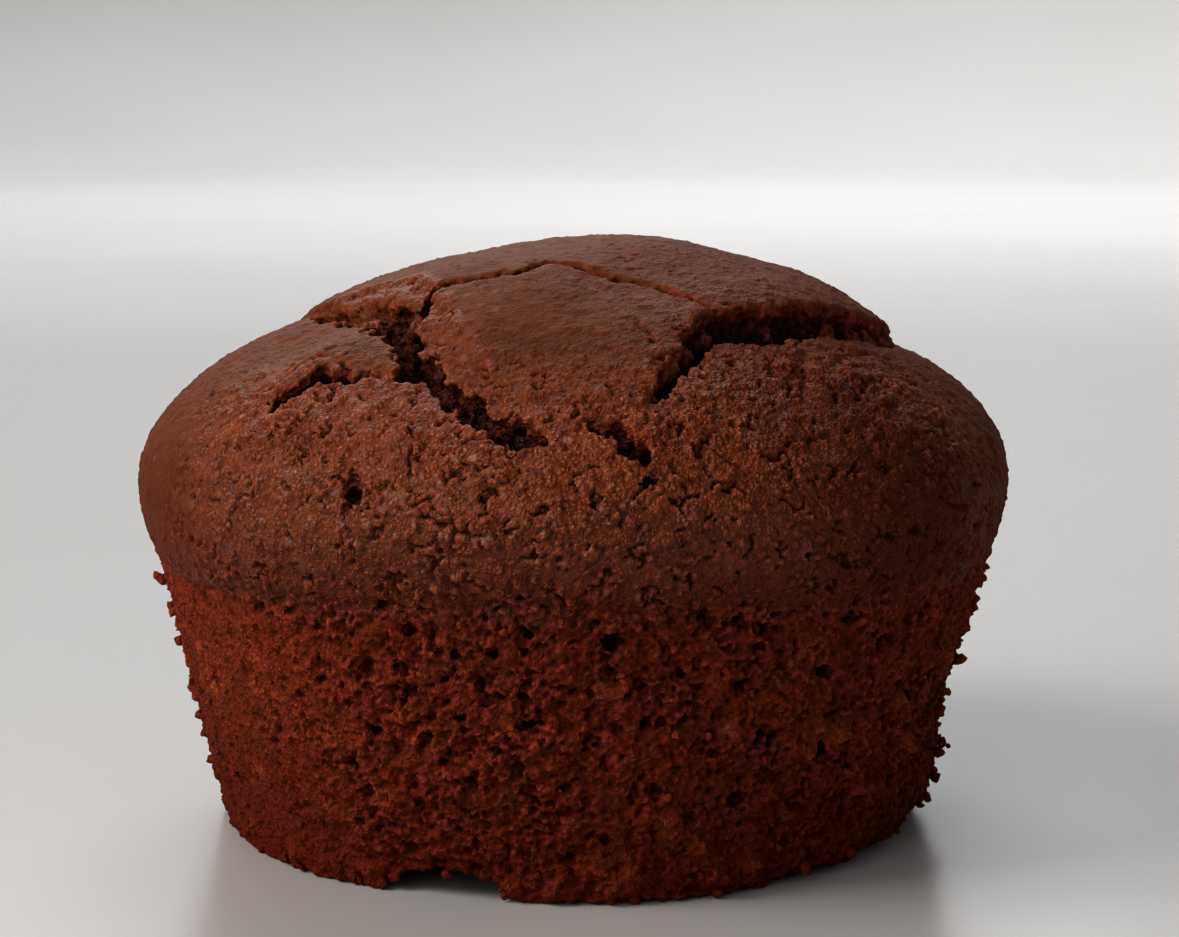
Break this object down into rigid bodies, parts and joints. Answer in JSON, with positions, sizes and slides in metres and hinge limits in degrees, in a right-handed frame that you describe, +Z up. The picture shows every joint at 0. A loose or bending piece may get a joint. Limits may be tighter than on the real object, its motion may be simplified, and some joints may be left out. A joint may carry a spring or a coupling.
{
  "type": "muffin",
  "caption": "Baked chocolate muffin without a paper case: a domed, cracked crust over a tapered wall of open crumb, resting on a flat foot.",
  "frame": {"origin": "centre of the flat foot that the muffin rests on", "axes": "+Z up through the dome, -Y towards the front, where the crust is cracked open"},
  "size_m": [0.07, 0.07, 0.0472],
  "materials": {
    "cake": "matte dark brown chocolate crust over porous, torn, reddish brown crumb"
  },
  "bodies": {
    "root": {"muffin": "cake"}
  },
  "joints": []
}
